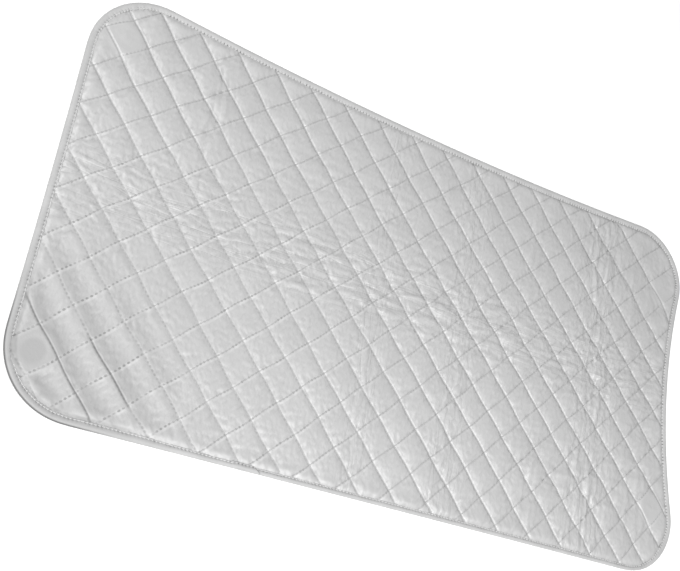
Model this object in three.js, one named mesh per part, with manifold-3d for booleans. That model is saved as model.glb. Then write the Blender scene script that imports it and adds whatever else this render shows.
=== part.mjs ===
// A quilted ironing pad: a heat-reflective cover, wadding and a backing cloth, quilted together in squares,
// bound round the edge with tape, with a disc magnet in each corner that holds it on a steel worktop.
// Millimetres. +X runs along the length, +Y to the rear and +Z up. The pad lies on z = 0, centred on the origin.
import * as THREE from 'three';
import { mergeVertices } from 'three/addons/utils/BufferGeometryUtils.js';
import Module from 'manifold-3d';

const wasm = await Module();
wasm.setup();

// Outline: corner to corner, with the middle of each side drawn in by the quilting
const LENGTH = 838;
const DEPTH = 452;
const CORNER_RADIUS = 72;
const FRONT_DRAW_IN = 0.5;
const RIGHT_DRAW_IN = 17;
const REAR_DRAW_IN = 12;
const LEFT_DRAW_IN = 1;

// Cloth, thread and the clearance between pieces that touch
const COVER_CLOTH = 0.4;
const BACKING_CLOTH = 0.4;
const BINDING_CLOTH = 0.5;
const QUILTING_THREAD = 0.3;
const BINDING_THREAD = 0.4;
const CLEARANCE = 0.3;

// Quilting: near-square cells set corner up, with a crossing of two rows at the lattice point
const RISING_STEP = 33.8;
const FALLING_STEP = 34.5;
const QUILT_TURN_DEGREES = 43.6;
const LATTICE_X = -1.5;
const LATTICE_Y = -11.7;
const RIM_WADDING = 0.4;
const CHANNEL_RISE = 0.1;
const CROWN_RISE = 3.4;

// Edge binding: one tape folded over the raw edge and sewn down near its inner edge
const BINDING_WIDTH = 9;
const BINDING_BEND = 1.3;
const SEAM_SETBACK = 2;
const RAW_EDGE_INSET = 1.2;
const THREAD_TURN_INSET = 5;
const BACKING_SLOPE = 3.5;
const CROWN_SLOPE = 13;

// Disc magnets, each in the quilted cell nearest to its bearing round the corner from the short side
const MAGNET_DIAMETER = 25;
const MAGNET_THICKNESS = 3;
const MAGNET_EDGE_SPACE = 0.5;
const MAGNET_BEARING_DEGREES = 16;
const BLISTER_FLARE = 2;

// Facets of the outline, of the magnets and of the hollows that hold them
const CORNER_STEPS = 5;
const SIDE_STEPS = 6;
const MAGNET_SIDES = 24;
const HOLLOW_SIDES = 10;

// Heights of the layers at the rim, from the worktop up
const backingRim = BINDING_CLOTH + CLEARANCE;
const waddingRim = backingRim + BACKING_CLOTH + CLEARANCE;
const waddingTop = waddingRim + RIM_WADDING;
const coverFoot = waddingTop + CLEARANCE;
const coverRim = coverFoot + COVER_CLOTH;
const channelTop = coverRim + CHANNEL_RISE;
const risingThreadFoot = channelTop + CLEARANCE;
const fallingThreadFoot = risingThreadFoot + QUILTING_THREAD + CLEARANCE;
const flapFoot = fallingThreadFoot + QUILTING_THREAD + CLEARANCE;
const flapTop = flapFoot + BINDING_CLOTH;
const crownTop = channelTop + CROWN_RISE;

// Distances in from the outer edge
const rimEnd = BINDING_WIDTH + CLEARANCE;
const backingFlatStart = rimEnd + BACKING_SLOPE;
const waddingFlatStart = backingFlatStart + CLEARANCE;

// Magnets lie on the backing cloth, and the cover goes up over each one
const magnetRadius = MAGNET_DIAMETER / 2;
const magnetFoot = BACKING_CLOTH + CLEARANCE;
const magnetTop = magnetFoot + MAGNET_THICKNESS;
const pocketRadius = (magnetRadius + CLEARANCE) / Math.cos(Math.PI / HOLLOW_SIDES);
const blisterRadius = (magnetRadius + CLEARANCE + COVER_CLOTH) / Math.cos(Math.PI / HOLLOW_SIDES);
const blisterTop = magnetTop + CLEARANCE + COVER_CLOTH;
const magnetInset = waddingFlatStart + MAGNET_EDGE_SPACE + magnetRadius;

// Cutting solids reach past what they cut by this much
const CUT_MARGIN = 2;

const cornerX = LENGTH / 2 - CORNER_RADIUS;
const cornerY = DEPTH / 2 - CORNER_RADIUS;

// The outline moved inwards, as points in order, anticlockwise from above
function outline(inset) {
  const radius = CORNER_RADIUS - inset;
  const centres = [[cornerX, -cornerY], [cornerX, cornerY], [-cornerX, cornerY], [-cornerX, -cornerY]];
  const drawIns = [RIGHT_DRAW_IN, REAR_DRAW_IN, LEFT_DRAW_IN, FRONT_DRAW_IN];
  const ring = [];
  centres.forEach(([centreX, centreY], index) => {
    const facing = index * Math.PI / 2;
    for (let step = 0; step <= CORNER_STEPS; step++) {
      const angle = facing - (1 - step / CORNER_STEPS) * Math.PI / 2;
      ring.push(new THREE.Vector2(centreX + radius * Math.cos(angle), centreY + radius * Math.sin(angle)));
    }
    const [nextX, nextY] = centres[(index + 1) % centres.length];
    for (let step = 1; step < SIDE_STEPS; step++) {
      const share = step / SIDE_STEPS;
      const out = radius - drawIns[index] * 4 * share * (1 - share);
      const x = THREE.MathUtils.lerp(centreX, nextX, share) + out * Math.cos(facing);
      const y = THREE.MathUtils.lerp(centreY, nextY, share) + out * Math.sin(facing);
      ring.push(new THREE.Vector2(x, y));
    }
  });
  return ring;
}

function bufferGeometry(positions, triangles) {
  const geometry = new THREE.BufferGeometry();
  geometry.setAttribute('position', new THREE.Float32BufferAttribute(positions, 3));
  geometry.setIndex(triangles);
  return geometry;
}

// Bands of triangles between rings of equal length; each ring lies outside the one before it, seen along the band
function bands(ringCount, ringSize, closed) {
  const triangles = [];
  const last = closed ? ringCount : ringCount - 1;
  for (let ring = 0; ring < last; ring++) {
    const here = ring * ringSize;
    const there = ((ring + 1) % ringCount) * ringSize;
    for (let point = 0; point < ringSize; point++) {
      const next = (point + 1) % ringSize;
      triangles.push(here + point, here + next, there + next);
      triangles.push(here + point, there + next, there + point);
    }
  }
  return triangles;
}

function ringPositions(profile) {
  return profile.flatMap(([inset, z]) => outline(inset).flatMap((point) => [point.x, point.y, z]));
}

// A plate with the pad's outline: the profile goes from under the middle, round the edge, to over the middle
function plate(profile) {
  const underside = outline(profile[0][0]);
  const upperSide = outline(profile[profile.length - 1][0]);
  const triangles = bands(profile.length, underside.length, false);
  for (const [a, b, c] of THREE.ShapeUtils.triangulateShape(underside, [])) {
    triangles.push(a, c, b);
  }
  const upperStart = (profile.length - 1) * underside.length;
  for (const [a, b, c] of THREE.ShapeUtils.triangulateShape(upperSide, [])) {
    triangles.push(upperStart + a, upperStart + b, upperStart + c);
  }
  return bufferGeometry(ringPositions(profile), triangles);
}

// A ring with the pad's outline: the profile is its closed section, from under the edge round the outside
function edgeRing(profile) {
  return bufferGeometry(ringPositions(profile), bands(profile.length, outline(0).length, true));
}

function toSolid(geometry) {
  const bare = geometry.clone();
  bare.deleteAttribute('normal');
  bare.deleteAttribute('uv');
  const merged = mergeVertices(bare);
  return new wasm.Manifold(new wasm.Mesh({
    numProp: 3,
    vertProperties: new Float32Array(merged.attributes.position.array),
    triVerts: new Uint32Array(merged.index.array),
  }));
}

function toGeometry(solid) {
  const mesh = solid.getMesh();
  return bufferGeometry(mesh.vertProperties, Array.from(mesh.triVerts));
}

// An upright disc or cone with its lower face at foot
function disc(lowerRadius, upperRadius, foot, top, sides) {
  const geometry = new THREE.CylinderGeometry(upperRadius, lowerRadius, top - foot, sides);
  geometry.rotateX(Math.PI / 2);
  geometry.translate(0, 0, (foot + top) / 2);
  return geometry;
}

const quiltTurn = THREE.MathUtils.degToRad(QUILT_TURN_DEGREES);
const alongRising = new THREE.Vector2(Math.cos(quiltTurn), Math.sin(quiltTurn));
const alongFalling = new THREE.Vector2(-Math.sin(quiltTurn), Math.cos(quiltTurn));
const latticePoint = new THREE.Vector2(LATTICE_X, LATTICE_Y);
const latticeReach = Math.hypot(LENGTH, DEPTH) / 2 + latticePoint.length();
const cellsOut = Math.ceil(latticeReach / Math.min(RISING_STEP, FALLING_STEP));

// A point of the quilting, counted in steps along the rising and the falling rows
function quiltPoint(risingSteps, fallingSteps) {
  const point = latticePoint.clone();
  point.addScaledVector(alongRising, risingSteps * RISING_STEP);
  return point.addScaledVector(alongFalling, fallingSteps * FALLING_STEP);
}

// The quilted face over more than the whole pad: each cell rises from its four crossings to a crown
function quiltFace() {
  const cells = 2 * cellsOut;
  const side = cells + 1;
  const positions = [];
  const place = (column, row, z) => {
    const point = quiltPoint(column - cellsOut, row - cellsOut);
    positions.push(point.x, point.y, z);
  };
  const crossing = (column, row) => row * side + column;
  const crown = (column, row) => side * side + row * cells + column;
  const below = (column, row) => side * side + cells * cells + crossing(column, row);
  for (let row = 0; row < side; row++) {
    for (let column = 0; column < side; column++) {
      place(column, row, channelTop);
    }
  }
  for (let row = 0; row < cells; row++) {
    for (let column = 0; column < cells; column++) {
      place(column + 0.5, row + 0.5, crownTop);
    }
  }
  for (let row = 0; row < side; row++) {
    for (let column = 0; column < side; column++) {
      place(column, row, -CUT_MARGIN);
    }
  }
  const triangles = [];
  for (let row = 0; row < cells; row++) {
    for (let column = 0; column < cells; column++) {
      const corners = [[column, row], [column + 1, row], [column + 1, row + 1], [column, row + 1]];
      corners.forEach((corner, index) => {
        const next = corners[(index + 1) % corners.length];
        triangles.push(crossing(...corner), crossing(...next), crown(column, row));
      });
      const [a, b, c, d] = corners.map((corner) => below(...corner));
      triangles.push(a, c, b, a, d, c);
    }
  }
  for (let step = 0; step < cells; step++) {
    const edges = [
      [[step, 0], [step + 1, 0]],
      [[cells, step], [cells, step + 1]],
      [[step + 1, cells], [step, cells]],
      [[0, step + 1], [0, step]],
    ];
    for (const [from, to] of edges) {
      triangles.push(below(...from), below(...to), crossing(...to));
      triangles.push(below(...from), crossing(...to), crossing(...from));
    }
  }
  return bufferGeometry(positions, triangles);
}

// Whether a point lies inside a ring of points
function isInside(point, ring) {
  let inside = false;
  ring.forEach((from, index) => {
    const to = ring[(index + 1) % ring.length];
    const level = (point.y - from.y) / (to.y - from.y);
    if ((from.y > point.y) !== (to.y > point.y) && point.x < THREE.MathUtils.lerp(from.x, to.x, level)) {
      inside = !inside;
    }
  });
  return inside;
}

// Centres of all cells that hold a whole magnet clear of the rim
function magnetCells() {
  const ring = outline(magnetInset);
  const centres = [];
  for (let rising = -cellsOut; rising < cellsOut; rising++) {
    for (let falling = -cellsOut; falling < cellsOut; falling++) {
      centres.push(quiltPoint(rising + 0.5, falling + 0.5));
    }
  }
  return centres.filter((centre) => isInside(centre, ring));
}

// Centres of the magnets, one in each corner
function magnetPlaces() {
  const bearing = THREE.MathUtils.degToRad(MAGNET_BEARING_DEGREES);
  const reach = CORNER_RADIUS - magnetInset;
  const corners = [
    { name: 'front_left', x: -1, y: -1 },
    { name: 'front_right', x: 1, y: -1 },
    { name: 'rear_right', x: 1, y: 1 },
    { name: 'rear_left', x: -1, y: 1 },
  ];
  const cells = magnetCells();
  return corners.map(({ name, x, y }) => {
    const wanted = new THREE.Vector2(
      x * (cornerX + reach * Math.cos(bearing)),
      y * (cornerY + reach * Math.sin(bearing)),
    );
    const byDistance = cells.toSorted((a, b) => a.distanceTo(wanted) - b.distanceTo(wanted));
    return { name, x: byDistance[0].x, y: byDistance[0].y };
  });
}
const magnets = magnetPlaces();

function atMagnets(geometry) {
  return magnets.map(({ x, y }) => toSolid(geometry.clone().translate(x, y, 0)));
}

// Silver-coated cover: puffed cells between the rows, drawn down to the rim and raised over the magnets
function topCover() {
  const envelope = plate([
    [RAW_EDGE_INSET, coverFoot],
    [RAW_EDGE_INSET, coverRim],
    [rimEnd, coverRim],
    [rimEnd + CROWN_SLOPE, crownTop + CUT_MARGIN],
  ]);
  const halfCell = Math.min(RISING_STEP, FALLING_STEP) / 2;
  const flare = Math.min(BLISTER_FLARE, halfCell - QUILTING_THREAD - CLEARANCE - blisterRadius);
  const blister = disc(blisterRadius + flare, blisterRadius, coverFoot, blisterTop, HOLLOW_SIDES);
  const pocket = disc(pocketRadius, pocketRadius, 0, magnetTop + CLEARANCE, HOLLOW_SIDES);
  const puffed = toSolid(quiltFace()).intersect(toSolid(envelope));
  const raised = atMagnets(blister).reduce((sum, cone) => sum.add(cone), puffed);
  return toGeometry(atMagnets(pocket).reduce((sum, cut) => sum.subtract(cut), raised));
}

// Wadding under the cover, thinned at the rim, with a round hole for each magnet
function wadding() {
  const sheet = plate([
    [waddingFlatStart, BACKING_CLOTH + CLEARANCE],
    [rimEnd + CLEARANCE, waddingRim],
    [RAW_EDGE_INSET, waddingRim],
    [RAW_EDGE_INSET, waddingTop],
  ]);
  const hole = disc(pocketRadius, pocketRadius, 0, crownTop, HOLLOW_SIDES);
  return toGeometry(atMagnets(hole).reduce((sum, cut) => sum.subtract(cut), toSolid(sheet)));
}

// Backing cloth, flat on the worktop and lifted at the rim into the binding
function backingCloth() {
  return plate([
    [backingFlatStart, 0],
    [rimEnd, backingRim],
    [RAW_EDGE_INSET, backingRim],
    [RAW_EDGE_INSET, backingRim + BACKING_CLOTH],
    [rimEnd, backingRim + BACKING_CLOTH],
    [backingFlatStart, BACKING_CLOTH],
  ]);
}

// Tape folded over the raw edges of the three layers
function edgeBinding() {
  const innerBend = BINDING_BEND - BINDING_CLOTH / 2;
  return edgeRing([
    [BINDING_WIDTH, 0],
    [BINDING_BEND, 0],
    [0, BINDING_BEND],
    [0, flapTop - BINDING_BEND],
    [BINDING_BEND, flapTop],
    [BINDING_WIDTH, flapTop],
    [BINDING_WIDTH, flapFoot],
    [BINDING_BEND, flapFoot],
    [BINDING_CLOTH, flapFoot - innerBend],
    [BINDING_CLOTH, BINDING_CLOTH + innerBend],
    [BINDING_BEND, BINDING_CLOTH],
    [BINDING_WIDTH, BINDING_CLOTH],
  ]);
}

// Sewing thread that holds the binding down
function bindingThread() {
  const seam = BINDING_WIDTH - SEAM_SETBACK;
  const foot = flapTop + CLEARANCE;
  return edgeRing([
    [seam + BINDING_THREAD / 2, foot],
    [seam - BINDING_THREAD / 2, foot],
    [seam - BINDING_THREAD / 2, foot + BINDING_THREAD],
    [seam + BINDING_THREAD / 2, foot + BINDING_THREAD],
  ]);
}

// Where a straight row meets a ring of points: each meeting is a point and its place along the ring
function meetings(start, direction, ring) {
  const across = (point) => direction.cross(point.clone().sub(start));
  const found = [];
  ring.forEach((point, index) => {
    const next = ring[(index + 1) % ring.length];
    const before = across(point);
    const after = across(next);
    if ((before < 0) !== (after < 0)) {
      const share = before / (before - after);
      const met = point.clone().lerp(next, share);
      found.push({ point: met, place: index + share, along: direction.dot(met.clone().sub(start)) });
    }
  });
  return found.sort((a, b) => a.along - b.along);
}

// Points of a ring between two places on it, going the shorter way
function turnAlong(ring, from, to) {
  const size = ring.length;
  const forward = (to - from + size) % size;
  const points = [];
  if (forward <= size / 2) {
    for (let place = Math.floor(from) + 1; place < from + forward; place++) {
      points.push(ring[place % size]);
    }
  } else {
    for (let place = Math.ceil(from) - 1; place > from + forward - size; place--) {
      points.push(ring[(place + size) % size]);
    }
  }
  return points;
}

// The route of a quilting thread: row after row, to and fro, turning under the binding
function quiltingRoute(direction, rowStart, shortestRow) {
  const ring = outline(THREAD_TURN_INSET);
  const route = [];
  let end = null;
  for (let row = -cellsOut; row <= cellsOut; row++) {
    const met = meetings(rowStart(row), direction, ring);
    if (met.length >= 2 && met[met.length - 1].along - met[0].along > shortestRow) {
      const ends = [met[0], met[met.length - 1]];
      if (Math.abs(row) % 2 === 1) {
        ends.reverse();
      }
      if (end) {
        route.push(...turnAlong(ring, end.place, ends[0].place));
      }
      route.push(ends[0].point, ends[1].point);
      end = ends[1];
    }
  }
  return route;
}

// A flat thread of square section along a route, with mitred turns
function threadAlong(route, foot) {
  const half = QUILTING_THREAD / 2;
  const positions = [];
  route.forEach((point, index) => {
    const before = point.clone().sub(route[Math.max(index - 1, 0)]).normalize();
    const after = route[Math.min(index + 1, route.length - 1)].clone().sub(point).normalize();
    const heading = before.clone().add(after).normalize();
    const leg = index === 0 ? after : before;
    const reach = half / Math.max(Math.abs(heading.dot(leg)), half);
    const left = new THREE.Vector2(-heading.y, heading.x).multiplyScalar(reach);
    for (const [side, z] of [[1, foot], [1, foot + QUILTING_THREAD], [-1, foot + QUILTING_THREAD], [-1, foot]]) {
      positions.push(point.x + side * left.x, point.y + side * left.y, z);
    }
  });
  const triangles = bands(route.length, 4, false);
  const last = (route.length - 1) * 4;
  triangles.push(0, 2, 1, 0, 3, 2);
  triangles.push(last, last + 1, last + 2, last, last + 2, last + 3);
  return bufferGeometry(positions, triangles);
}

const silver = { color: 0xc9c9c9, roughness: 0.55, metalness: 0.25 };
const tape = { color: 0xc2c2c2, roughness: 0.65, metalness: 0.15 };
const fibre = { color: 0xf1efe9, roughness: 0.95, metalness: 0 };
const cotton = { color: 0xd8d5ce, roughness: 0.9, metalness: 0 };
const thread = { color: 0xadadad, roughness: 0.7, metalness: 0 };
const ferrite = { color: 0x3c3c40, roughness: 0.5, metalness: 0.3 };

const pad = new THREE.Group();

function addPiece(name, geometry, finish) {
  geometry.computeVertexNormals();
  const mesh = new THREE.Mesh(geometry, new THREE.MeshStandardMaterial(finish));
  mesh.name = name;
  pad.add(mesh);
  return mesh;
}

addPiece('top_cover', topCover(), silver);
addPiece('wadding', wadding(), fibre);
addPiece('backing_cloth', backingCloth(), cotton);
addPiece('edge_binding', edgeBinding(), tape);
addPiece('binding_thread', bindingThread(), thread);
const risingRoute = quiltingRoute(alongRising, (row) => quiltPoint(0, row), RISING_STEP);
addPiece('quilting_thread_rising', threadAlong(risingRoute, risingThreadFoot), thread);
const fallingRoute = quiltingRoute(alongFalling, (row) => quiltPoint(row, 0), FALLING_STEP);
addPiece('quilting_thread_falling', threadAlong(fallingRoute, fallingThreadFoot), thread);
for (const { name, x, y } of magnets) {
  const body = disc(magnetRadius, magnetRadius, magnetFoot, magnetTop, MAGNET_SIDES);
  const magnet = addPiece(`magnet_${name}`, body, ferrite);
  magnet.position.set(x, y, 0);
}

export default pad;
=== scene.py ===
# A quilted ironing pad on a pale floor: a silver-coated cover over wadding, a backing cloth, bound edges,
# rows of stitches, and a disc magnet in each corner. Sizes are in millimetres, and meshes end in metres.
# A pair given to a rise is where the change starts and where it is complete.
import math

import bmesh
import bpy
import numpy as np
from mathutils import Matrix, Vector, kdtree, noise


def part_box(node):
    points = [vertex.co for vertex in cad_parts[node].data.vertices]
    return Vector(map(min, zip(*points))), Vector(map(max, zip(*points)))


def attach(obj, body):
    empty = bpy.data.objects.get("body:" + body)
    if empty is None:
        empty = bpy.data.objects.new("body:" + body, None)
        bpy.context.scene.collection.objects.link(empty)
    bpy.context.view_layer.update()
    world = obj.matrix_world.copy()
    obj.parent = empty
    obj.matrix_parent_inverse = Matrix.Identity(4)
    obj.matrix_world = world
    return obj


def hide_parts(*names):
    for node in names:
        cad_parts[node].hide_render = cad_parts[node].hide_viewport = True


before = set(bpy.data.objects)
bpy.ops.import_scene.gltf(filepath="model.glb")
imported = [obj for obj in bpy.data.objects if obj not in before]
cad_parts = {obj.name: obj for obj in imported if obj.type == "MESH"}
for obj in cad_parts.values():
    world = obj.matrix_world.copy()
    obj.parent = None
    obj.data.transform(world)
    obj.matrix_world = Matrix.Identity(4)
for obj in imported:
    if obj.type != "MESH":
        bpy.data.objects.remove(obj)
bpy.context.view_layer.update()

MM = 0.001
UPWARD = Vector((0, 0, 1))

# Outline of the pad, with the middle of each side drawn in by the quilting
LENGTH = 838.0
DEPTH = 452.0
FRONT_LEFT = np.array([-LENGTH / 2, -DEPTH / 2])
REAR_RIGHT = -FRONT_LEFT
CORNER_RADIUS = 72.0
DRAW_INS = {"right": 17.0, "rear": 12.0, "left": 1.0, "front": 0.5}
STRETCH_POINTS = 400
EDGE_STEP = 1.0
EDGE_EASING = 100
FRONT_FACING = 0.9

# Quilting: near-square cells set corner up. The falling rows stop before the rear right corner.
RISING_STEP = 33.8
FALLING_STEP = 34.5
QUILT_TURN = math.radians(43.6)
LATTICE = np.array([-1.5, -11.7])
CELLS_OUT = 16
LAST_FALLING_ROW = 11
HALF_CELL = 0.5

# How the rows stray: in waves, each with its turn for a step along the row and for a row, and by a drift
# in two corners
ROW_SWAY = 0.5
ROW_WAVES = ((0.9, 2.1), (0.37, 4.7), (3.7, 5.3))
FRONT_CORNER_DRIFT = 8.0
FRONT_DRIFT_FADE = (85, 165)
REAR_CORNER_DRIFT = 7.0
REAR_DRIFT_FADE = (112, 145)
FRONT_CORNER_SINK = 6.2
FRONT_SINK_FADE = (30, 150)
FRONT_SINK_SHAPE = (1, 0.6)

# Heights of the cover above the floor, and how far from a row or from the edge they change
RISING_CHANNEL = 3.0
FALLING_CHANNEL = 2.4
CHANNEL_SLOPE = 7.0
RIM_HEIGHT = 2.6
FACE_RISE = (8, 14)
FILL_FOOT = 1.3

# Backing
BACKING_CLOTH = 0.4
BACKING_RIM = 0.8
BACKING_RIM_FADE = 5.0
BACKING_CHANNEL = 0.8
BACKING_FULLNESS = 0.5
BACKING_EDGE_INSET = 2.0
BACKING_DIVISIONS = 6

# Puffs between the rows. They are flatter in the middle, where the pad is worn, and in the curled corner.
CROWN = 1.75
CROWN_RISE = (8, 12)
PUFF_FULLNESS = 0.8
MIDDLE_FLATNESS = 0.22
WORN_FLATNESS = 0.6
CORNER_FLATNESS = 0.8
MIDDLE_FADE = (150, 350)
WORN_FADE_RIGHT = (-250, 120)
WORN_FADE_REAR = (20, 150)
CORNER_FADE = (110, 220)

# The roll inside the tape, and the folds on either side of the falling rows in the curled corner
EDGE_ROLL = 1.3
ROLL_RISE = (8, 10)
ROLL_FADE = (11, 24)
ROLL_FULLNESS = 0.3
CORNER_FOLD = 2.2
FOLD_RIGHT = 13.0
FOLD_LEFT = 17.0

# Edge binding
BINDING_WIDTH = 9.0
SEAM_INSET = 7.0
COVER_EDGE_INSET = 3.0
FRONT_NARROWING = 0.3
NARROWING_FACE = (0.5, 1)
NARROWING_START = (-300, -170)
TAPE_PUCKER = 0.15
CORNER_PUCKER = 0.4
TAPE_RIPPLE = 0.15
SEAM_DIP = 0.8
PUCKER_LENGTH = 5.0
RIPPLE_LENGTH = 22.0
DIP_LENGTH = 9.0
EDGE_RIPPLE = 0.4
EDGE_PUCKER = 0.3
TAPE_WAVE_RISE = (1.0, 5.0)
SEAM_DIP_RISE = (4.0, 6.4)
FRILL_RISE = (6.0, 8.4)

# The tape's lapped join on the front edge
LAP_PLACE = -150.0
LAP_SLANT = 0.8
LAP_MIDDLE = 4.0
LAP_HEIGHT = 0.9
LAP_FADE = (14, 40)
LAP_WIDENING = 0.12
LAP_STITCHES = ((3.0, 13.0), (17.0, 28.0))
LAP_STITCH_LIFT = 0.25

# Stitches
QUILTING_STITCH = 4.5
BINDING_STITCH = 4.0
THREAD_RADIUS = 0.27
THREAD_SIDES = 5
SEAM_THREAD_RADIUS = 0.36
SEAM_STITCH_SHARE = 0.72
STITCH_DIP = 1.6
STITCH_BEND = 0.2
CORNER_STITCH_SINK = 0.8
SEAM_HEIGHT = 3.35
UNDER_SEAM_HEIGHT = 0.45
SEAM_UNEVENNESS = 0.35
SEAM_UNEVEN_LENGTH = 13.0
REAR_SEAM_SINK = 0.3
REAR_SEAM_FROM_LEFT = (50, 300)
REAR_SEAM_FROM_FRONT = (-150, 0)

# Magnets under the cover
MAGNET_RADIUS = 12.5
MAGNET_PRINT_HEIGHT = 4.6
MAGNET_PRINT_EDGE = 1.5
MAGNET_RING_HEIGHT = 5.0
MAGNET_RING_WIDTH = 3.0
MAGNET_OVERLAP = 0.5
MAGNET_FADE = 14.0
PLAIN_MAGNET = "magnet_front_left"
MAGNETS = (PLAIN_MAGNET, "magnet_front_right", "magnet_rear_right", "magnet_rear_left")

# Old folds of the cloth, with their middle, width, and share of spare cloth
MIDDLE_FOLD = 10.0
FOLDS_ACROSS_LENGTH = ((-45.0, 18.0, 0.03), (70.0, 22.0, 0.04), (275.0, 34.0, 0.06))
FOLDS_ACROSS_DEPTH = ((MIDDLE_FOLD, 50.0, 0.06),)

# Creases along the old folds: the side they run along, middle, half-width, start, end, and height
CREASES = (
    ("length", MIDDLE_FOLD, 60, -190, 300, 1.6),
    ("length", 30, 60, -350, -190, 0.7),
    ("length", 95, 65, -220, 90, 0.75),
    ("length", -130, 70, 150, 380, 1.2),
    ("depth", -272, 20, 10, 215, 1.4),
    ("depth", -258, 26, -215, -165, 2.0),
    ("depth", 275, 40, -215, 215, 2.2),
    ("depth", -45, 20, -215, -50, 1.2),
    ("depth", 70, 24, -200, -60, 1.2),
    ("depth", 75, 22, 80, 205, 1.0),
    ("depth", 165, 24, 60, 210, 1.0),
    ("depth", 180, 40, -215, -60, 1.1),
    ("depth", 350, 50, -200, 200, 0.9),
)
CREASE_LENGTH = 90.0
CREASE_GAP = 7.0
CREASE_BEND = 7.0
CREASE_BEND_LENGTH = 55.0
CREASE_CORE = 0.3
CREASE_END_INSIDE = 30
CREASE_END_OUTSIDE = 20
CREASE_VALLEY = 0.4

# Gathers: short puckers square to the edge, higher along the front and the right
GATHER_GAP = 5.0
GATHER_LENGTH = 40.0
GATHER_RISE = (8, 11)
GATHER_FADE = (14, 28)
GATHER_HEIGHT = 0.25
SIDE_GATHER_HEIGHT = 0.55
SIDE_GATHER_FACE = (0.6, 1)
SIDE_GATHER_START = (-330, -240)

# Cloth of the cover: cut larger than the pad, more so along the old folds, and settled at a small scale
COVER_DIVISIONS = 16
SPARE_CLOTH = 0.03
SETTLING_SCALE = 0.02
SEWING_FRAMES = 11
SETTLING_FRAMES = 22
WADDING_HOLD = 0.36
ON_ROW = 0.01
CLOTH_SEED = 7
CLOTH_UNEVENNESS = 0.1
MOST_SETTLING = 2.0
RELIEF_REACH = 6

# Camera, fitted to the pad's outline in the picture, whose width and focal length are in its own pixels
PICTURE_WIDTH = 680
FOCAL_LENGTH = 1032.75
SENSOR_WIDTH = 36
CAMERA_PLACE = Vector((-575.7, -403.2, 928.5))
CAMERA_RIGHT = Vector((0.8482, 0.1524, 0.5073))
CAMERA_UP = Vector((-0.3068, 0.9220, 0.2361))
CAMERA_VIEW = Vector((0.4318, 0.3559, -0.8288))
CAMERA_REACH = 100000.0

# Tones of the finishes, from black at 0 to white at 1
SILVER = 0.456
TAPE = 0.43
THREAD = 0.42
SEAM_THREAD = 0.66
COTTON_DARK = (0.56, 0.545, 0.51, 1)
COTTON_PALE = (0.68, 0.665, 0.63, 1)

# Finish of the cover
RELIEF_TONES = (0.05, 0.9)
PATCHES = (0.3, 0.7)
ROW_HOLE = (0.3, 1.6)
HOLE_LENGTHENING = 0.5
FALLING_DIP = (0, 2.4)
RISING_DIP = (0, 1.8)
CROSSING_SHIFT = 2
CROSSING_GLINT = (1, 8)
HIGHLIGHT_LIP_SHIFT = 1.9
HIGHLIGHT_LIP_EDGE = (0.4, 2.1)
DISC_SHADE_EDGE = 4.0
PAINTED_CORNER_SHADE_FADE = (40, 270)
SEAM_SHADE = (8.4, 10.6)
SEAM_SHADE_FROM_FRONT = (-150, 50)
SEAM_SHADE_FROM_LEFT = (-100, 300)
CORNER_SEAM_SHADE = (10, 12.5)
CORNER_SHADE_FADE = (100, 160)
CURL_SHADE_LINE = (0.2, 1.3)
OUTER_CURL_WIDTH = (0.45, 0.6)
INNER_CURL_WIDTH = (0.3, 0.4)
OUTER_CURLED_ROW = -11
OUTER_CURL_END = (-130, -100)
INNER_CURLED_ROW = -10
INNER_CURL_START = (-200, -185)
INNER_CURL_END = (-150, -135)
FOLD_MARK_LENGTH = 70.0
FOLD_MARK_GAP = 9.0
FOLD_MARK_SHARPNESS = 9
MIDDLE_MARKS = 60.0
MARKS_BEYOND_FOLD = 1.5

# Finish of the tape
TWILL_PITCH = 1.1
SEAM_HOLE = (0.2, 1.3)
DENT_SHADE_WIDTH = (0.2, 1.0)
DENT_SHADE_RISE = (4.4, 6.2)
TAPE_CORNER_DARKENING_FADE = (70, 200)
OUTER_FOLD_SHADOW = (0.3, 1.7)
FOLD_SHADOW_FADE = (70, 130)
LAP_LINE = (0.3, 1.3)
LAP_LINE_END = (-215, -200)
LAP_LINE_RISE = (0.5, 1.5)

# Finish of the thread and the backing
PLY_PITCH = 0.9
WEAVE_PITCH = 0.9

# Floor and surrounding light
FLOOR_HALF = 6000.0
FLOOR_DROP = 0.4
WORLD_LIGHT = 0.5


def smooth_rise(value, low, high):
    """0 below low, 1 above high, and an even rise between them."""
    part = np.clip((value - low) / (high - low), 0, 1)
    return part * part * (3 - 2 * part)


def distance(places, centre):
    """How far places on the pad lie from one place."""
    return np.linalg.norm(places - centre, axis=-1)


def noise_along(places, length, layer):
    """Soft random heights along a line, with waves of about one length."""
    return np.array([noise.noise(Vector((place / length, layer, 0))) for place in places])


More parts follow.
